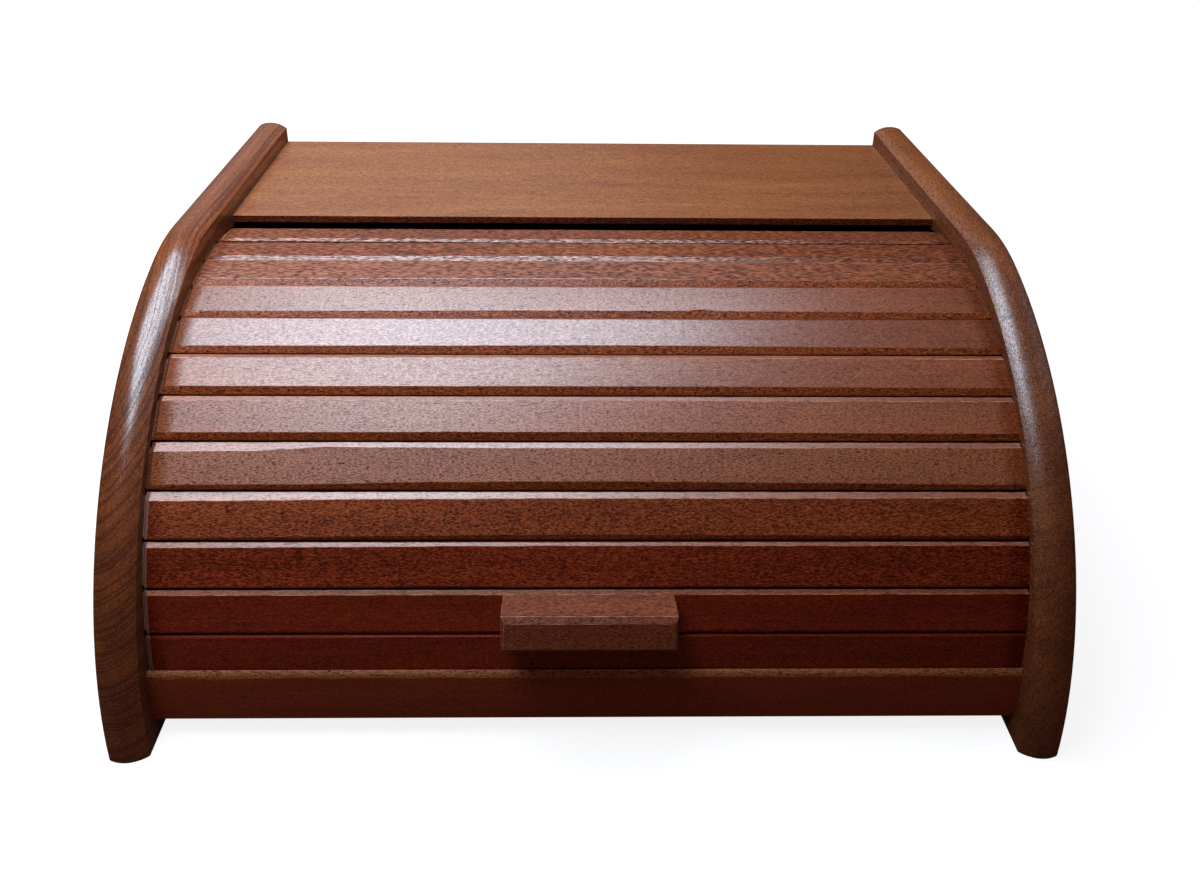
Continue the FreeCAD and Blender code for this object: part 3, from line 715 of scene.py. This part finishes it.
# Pared by hand, the upper bevels are painted paler: a painted highlight for the light they catch facing
# up. The lower bevels get a redder stain with little lacquer: painted shade where they face down. The left
# ends are bevelled too: painted dark on the upper slats, a painted shade beside the sides, and rubbed bare on
# the lower.
upper_bevel_painted_light = stained_beech(
    "upper_bevel_light_beech", (20.0, 60.0, 44.0), tilt=0.5, tone=0.10, brown=0.9, grit=0.6, polish=0.43, lacquer=1.35
)
low_upper_bevel_painted_light = stained_beech(
    "low_upper_bevel_light_beech", (20.0, 60.0, 44.0), tilt=0.5, tone=0.10, brown=0.9, grit=0.6, polish=0.43, lacquer=0.7
)
# Painted shade: a redder, duller stain for the down-facing lower bevels.
lower_bevel_painted_shade = stained_beech(
    "lower_bevel_shade_beech", (17.0, 70.0, 4.0), tilt=0.6, tone=0.03, brown=0.85, lacquer=0.3, sheen=0.1
)
# Painted shade: the left end bevels of slats 1 to 8 are stained darker for the shade of the side beside them.
end_painted_shade = stained_beech("end_shade_beech", offset=(7.0, 1.0, 2.0), tone=-0.25, brown=1.2, lacquer=0.3)
rubbed_end, rubbed_shader, start = new_material("rubbed_end_beech")
bare = fleck(grain(start, (4.0, 4.0, 4.0)), 5, 5, 3, 0.6).blend((0.15, 0.06, 0.040, 1), (0.23, 0.10, 0.07, 1))
start.tree.links.new(bare.socket, rubbed_shader.inputs["Base Color"])
rubbed_shader.inputs["Roughness"].default_value = 0.6
for number, (tone, brown, lacquer, polish, grit) in enumerate(slat_stains_and_shade, 1):
    wood = stained_beech(
        f"slat_beech_{number:02d}",
        offset=(number * 53.0, number * 17.0, number * 29.0),
        tilt=slat_angle(number),
        tone=tone,
        brown=brown,
        grit=grit,
        fibre=3.0 if number < 4 else 1.2,
        polish=polish,
        lacquer=lacquer,
        sheen=0.35 if number < 9 else 0.15,
        end_shade_beyond=0.1700,
    )
    node = f"slat_{number:02d}"
    upper = upper_bevel_painted_light if number < 11 else low_upper_bevel_painted_light
    left_end = end_painted_shade if number < 9 else rubbed_end
    looks = [wood, worn, upper, left_end, lower_bevel_painted_shade]
    finished(f"{node}_finish", new_slat(number), "roll", looks, [node], smooth=25)

# ---------------------------------------------------------------- tapes
# Two strips of glued canvas across the backs of the slats hold the roll together.
canvas, canvas_shader, start = new_material("canvas")
place = grain(start, (0.0, 0.0, 0.0))
weave = fleck(place, 0.6, 0.6, 1)
thread = weave.blend(colour(150, 136, 108), colour(206, 194, 166))
start.tree.links.new(thread.socket, canvas_shader.inputs["Base Color"])
canvas_shader.inputs["Roughness"].default_value = 0.9
for hand, word in ((-1, "left"), (1, "right")):
    node = f"cloth_tape_{word}"
    shape = merged_copy(node)
    tape = finished(f"tape_{word}", shape, "roll", [canvas], [node])

# ---------------------------------------------------------------- handle
# A short bar of beech with a flat back, screwed to a slat. Its front edges are bevelled and its
# corners are worn pale by hands.
handle_slat = 11
handle_wood = stained_beech(
    "handle_beech",
    offset=(300.0, 8.0, 3.0),
    tilt=slat_angle(handle_slat),
    tone=-0.12,
    brown=0.85,
    grit=0.8,
    sheen=0.2,
)
shape = merged_copy("handle")
ease(shape, [edge for edge in shape.edges if sharp(edge, 15)], 0.0003)
finished("handle_finish", shape, "roll", [handle_wood, worn], ["handle"])

# ---------------------------------------------------------------- small fixings
# Birch dowels hold the rail, and zinc-plated brads and screws hold the back and the handle.
birch, birch_shader, start = new_material("birch")
place = grain(start, (0.0, 0.0, 0.0))
fibre = fleck(place, 8, 0.4, 2).blend(colour(190, 158, 112), colour(222, 196, 152))
start.tree.links.new(fibre.socket, birch_shader.inputs["Base Color"])
birch_shader.inputs["Roughness"].default_value = 0.7
zinc, zinc_shader, start = new_material("zinc")
place = grain(start, (0.0, 0.0, 0.0))
wear = fleck(place, 0.8, 0.8, 3)
plating = wear.blend(colour(150, 146, 134), colour(196, 194, 184))
start.tree.links.new(plating.socket, zinc_shader.inputs["Base Color"])
start.tree.links.new((0.3 + wear * 0.25).socket, zinc_shader.inputs["Roughness"])
zinc_shader.inputs["Metallic"].default_value = 1
for node, material in (("rail_dowels", birch), ("back_brads", zinc), ("handle_screws", zinc)):
    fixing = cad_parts[node]
    for slot in fixing.material_slots:
        slot.material = material
